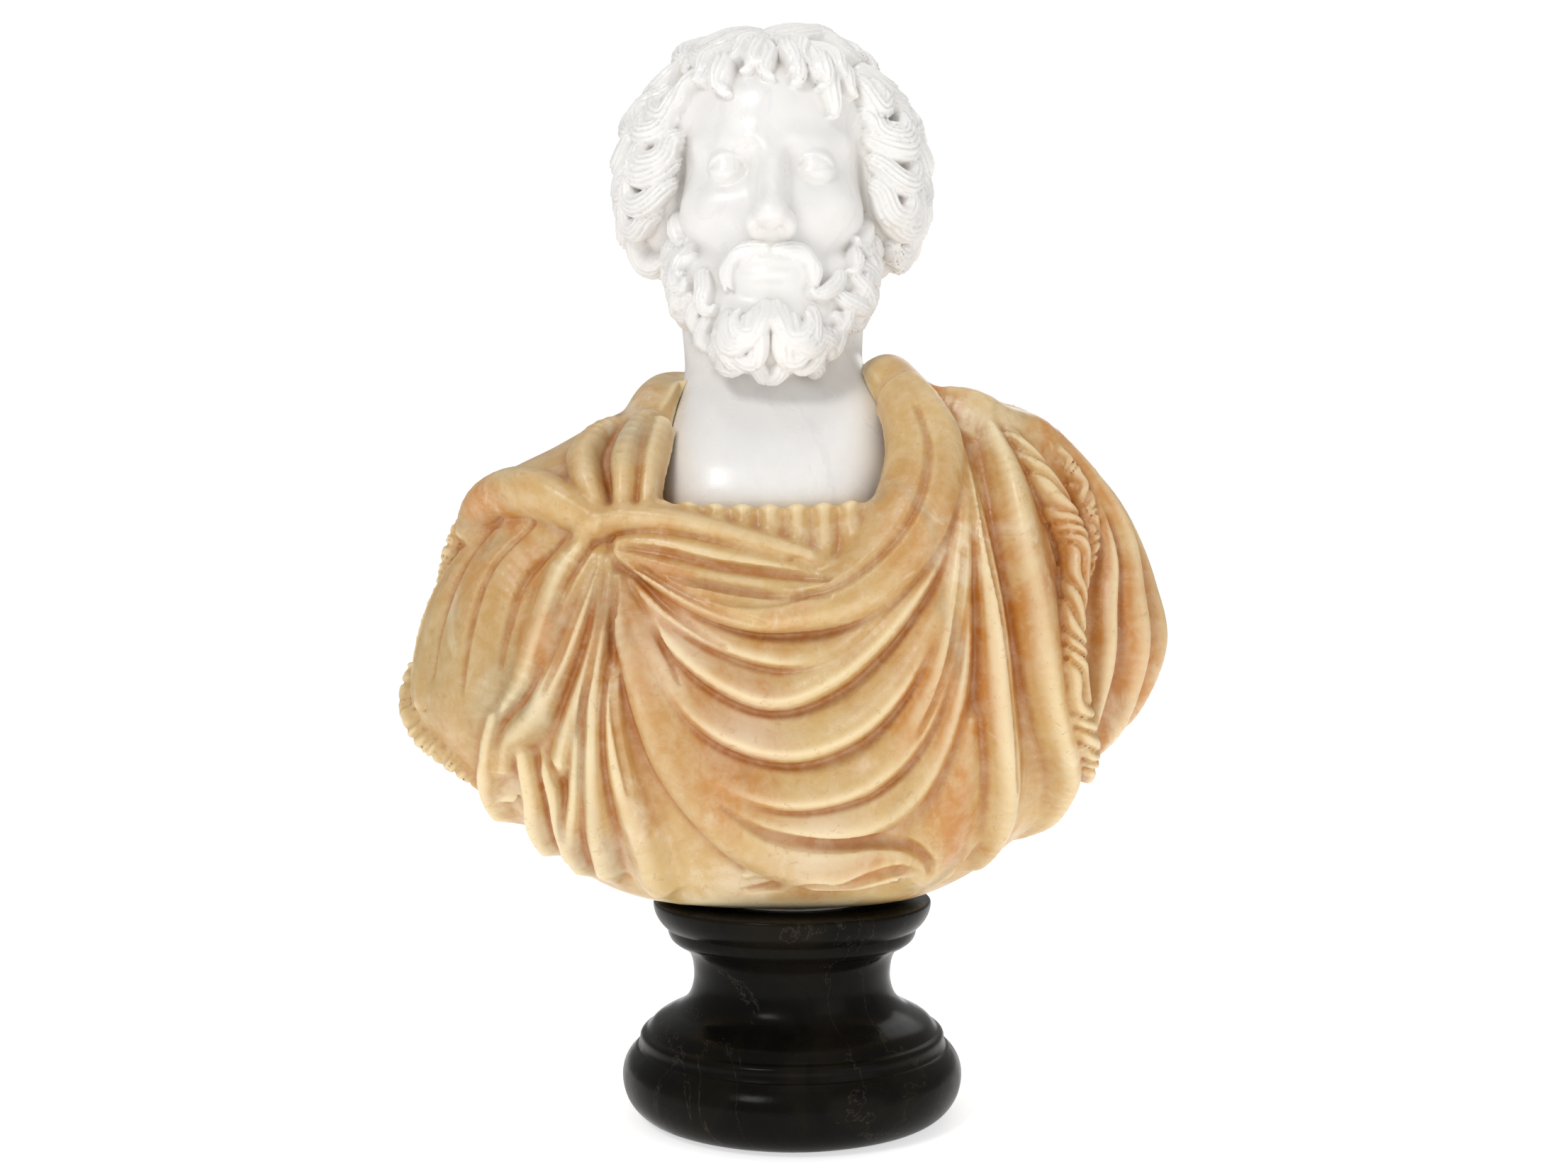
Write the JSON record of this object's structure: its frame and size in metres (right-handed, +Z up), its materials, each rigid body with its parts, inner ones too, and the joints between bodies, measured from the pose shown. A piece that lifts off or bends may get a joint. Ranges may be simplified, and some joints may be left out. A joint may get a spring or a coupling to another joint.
{
  "type": "draped portrait bust",
  "caption": "Life-size draped portrait bust with a white marble head, honey alabaster drapery and a turned black marble socle.",
  "frame": {"origin": "on the floor, on the axis of the socle", "axes": "+Z up along the socle's axis, -Y towards the front of the face, +X towards the figure's left shoulder"},
  "size_m": [0.5703, 0.2754, 0.817],
  "materials": {
    "white_marble": "honed and lightly polished",
    "alabaster": "soft polish",
    "black_marble": "polished",
    "steel": "as turned",
    "resin": "cured resin",
    "mortar": "rough",
    "nylon": "satin",
    "felt": "felt"
  },
  "bodies": {
    "socle_body": {"socle": "black_marble", "felt_base": "felt", "bearing_disc": "nylon"},
    "bust_body": {"torso": "alabaster", "head": "white_marble", "fixing_rod": "steel", "rod_resin": "resin", "washer": "steel", "spring_washer": "steel", "nut": "steel", "lock_nut": "steel", "head_dowel": "steel", "dowel_resin": "resin", "mortar_bed": "mortar"}
  },
  "joints": [
    {"name": "bust_swivel", "type": "hinge", "parent": "socle_body", "child": "bust_body", "pos_m": [0, 0, 0.16], "axis": [0, 0, 1], "continuous": true}
  ]
}
